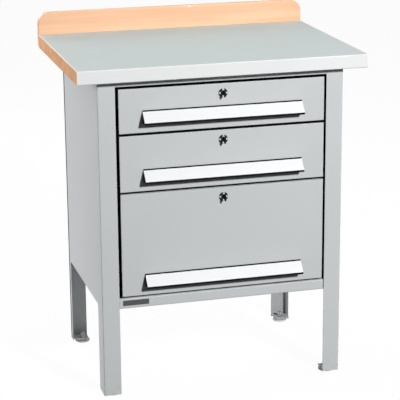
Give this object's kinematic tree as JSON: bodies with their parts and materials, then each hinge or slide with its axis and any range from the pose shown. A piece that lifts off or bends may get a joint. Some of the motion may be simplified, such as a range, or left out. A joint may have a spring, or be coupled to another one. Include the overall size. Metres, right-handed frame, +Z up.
{
  "type": "workshop bench",
  "caption": "Steel workshop bench with a beech worktop, a rear upstand, lockable drawers on telescopic slides and L-section corner legs on levelling feet.",
  "frame": {"origin": "on the floor under the middle of the bench's outer box", "axes": "+X to the right seen from the front, the drawers face -Y, +Z up"},
  "size_m": [0.75, 0.55, 0.925],
  "materials": {
    "grey_paint": "light grey powder coat, satin",
    "inner_paint": "light grey powder coat, satin",
    "cover_sheet": "grey-green sheet cover, satin",
    "beech": "clear lacquered beech",
    "beech_core": "beech multiplex, lacquered edge",
    "black_grip": "black, fine texture",
    "white_label": "white, smooth",
    "zinc_steel": "zinc plated",
    "chrome": "nickel plated",
    "dark_plate": "dark grey, bare",
    "foot_plastic": "light grey"
  },
  "bodies": {
    "bench": {"worktop_core": "beech_core", "worktop_cover": "cover_sheet", "upstand": "beech", "left_side_frame": "grey_paint", "right_side_frame": "grey_paint", "left_liner": "inner_paint", "right_liner": "inner_paint", "top_rail": "grey_paint", "bottom_pan": "grey_paint", "back_panel": "grey_paint", "keeper_rail_1": "inner_paint", "keeper_rail_2": "inner_paint", "bare_plate": "dark_plate", "drawer_1_left_rail": "zinc_steel", "drawer_1_right_rail": "zinc_steel", "drawer_2_left_rail": "zinc_steel", "drawer_2_right_rail": "zinc_steel", "drawer_3_left_rail": "zinc_steel", "drawer_3_right_rail": "zinc_steel"},
    "drawer_1": {"drawer_1_front": "grey_paint", "drawer_1_tray": "inner_paint", "drawer_1_grip": "black_grip", "drawer_1_label": "white_label", "drawer_1_lock_body": "chrome", "drawer_1_left_runner": "zinc_steel", "drawer_1_right_runner": "zinc_steel"},
    "drawer_1_slides": {"drawer_1_left_slide": "zinc_steel", "drawer_1_right_slide": "zinc_steel"},
    "drawer_1_lock": {"drawer_1_lock_plug": "chrome", "drawer_1_lock_cam": "zinc_steel", "drawer_1_key": "zinc_steel"},
    "drawer_2": {"drawer_2_front": "grey_paint", "drawer_2_tray": "inner_paint", "drawer_2_grip": "black_grip", "drawer_2_label": "white_label", "drawer_2_lock_body": "chrome", "drawer_2_left_runner": "zinc_steel", "drawer_2_right_runner": "zinc_steel"},
    "drawer_2_slides": {"drawer_2_left_slide": "zinc_steel", "drawer_2_right_slide": "zinc_steel"},
    "drawer_2_lock": {"drawer_2_lock_plug": "chrome", "drawer_2_lock_cam": "zinc_steel", "drawer_2_key": "zinc_steel"},
    "drawer_3": {"drawer_3_front": "grey_paint", "drawer_3_tray": "inner_paint", "drawer_3_grip": "black_grip", "drawer_3_label": "white_label", "drawer_3_lock_body": "chrome", "drawer_3_left_runner": "zinc_steel", "drawer_3_right_runner": "zinc_steel"},
    "drawer_3_slides": {"drawer_3_left_slide": "zinc_steel", "drawer_3_right_slide": "zinc_steel"},
    "drawer_3_lock": {"drawer_3_lock_plug": "chrome", "drawer_3_lock_cam": "zinc_steel", "drawer_3_key": "zinc_steel"},
    "foot_front_left": {"foot_front_left": "foot_plastic"},
    "foot_front_right": {"foot_front_right": "foot_plastic"},
    "foot_rear_left": {"foot_rear_left": "foot_plastic"},
    "foot_rear_right": {"foot_rear_right": "foot_plastic"}
  },
  "joints": [
    {"name": "drawer_1_pull", "type": "slide", "parent": "bench", "child": "drawer_1", "axis": [0, -1, 0], "range_m": [0, 0.36]},
    {"name": "drawer_1_slides_follow", "type": "slide", "parent": "bench", "child": "drawer_1_slides", "axis": [0, -1, 0], "range_m": [0, 0.18]},
    {"name": "drawer_1_lock_turn", "type": "hinge", "parent": "drawer_1", "child": "drawer_1_lock", "pos_m": [0, -0.247, 0.784], "axis": [0, -1, 0], "range_deg": [0, 90]},
    {"name": "drawer_2_pull", "type": "slide", "parent": "bench", "child": "drawer_2", "axis": [0, -1, 0], "range_m": [0, 0.36]},
    {"name": "drawer_2_slides_follow", "type": "slide", "parent": "bench", "child": "drawer_2_slides", "axis": [0, -1, 0], "range_m": [0, 0.18]},
    {"name": "drawer_2_lock_turn", "type": "hinge", "parent": "drawer_2", "child": "drawer_2_lock", "pos_m": [0, -0.247, 0.665], "axis": [0, -1, 0], "range_deg": [0, 90]},
    {"name": "drawer_3_pull", "type": "slide", "parent": "bench", "child": "drawer_3", "axis": [0, -1, 0], "range_m": [0, 0.36]},
    {"name": "drawer_3_slides_follow", "type": "slide", "parent": "bench", "child": "drawer_3_slides", "axis": [0, -1, 0], "range_m": [0, 0.18]},
    {"name": "drawer_3_lock_turn", "type": "hinge", "parent": "drawer_3", "child": "drawer_3_lock", "pos_m": [0, -0.247, 0.515], "axis": [0, -1, 0], "range_deg": [0, 90]},
    {"name": "foot_front_left_screw", "type": "slide", "parent": "bench", "child": "foot_front_left", "axis": [0, 0, -1], "range_m": [0, 0.012]},
    {"name": "foot_front_right_screw", "type": "slide", "parent": "bench", "child": "foot_front_right", "axis": [0, 0, -1], "range_m": [0, 0.012]},
    {"name": "foot_rear_left_screw", "type": "slide", "parent": "bench", "child": "foot_rear_left", "axis": [0, 0, -1], "range_m": [0, 0.012]},
    {"name": "foot_rear_right_screw", "type": "slide", "parent": "bench", "child": "foot_rear_right", "axis": [0, 0, -1], "range_m": [0, 0.012]}
  ],
  "couplings": [
    {"joint": "drawer_1_slides_follow", "follows": "drawer_1_pull", "ratio": 0.5},
    {"joint": "drawer_2_slides_follow", "follows": "drawer_2_pull", "ratio": 0.5},
    {"joint": "drawer_3_slides_follow", "follows": "drawer_3_pull", "ratio": 0.5}
  ]
}
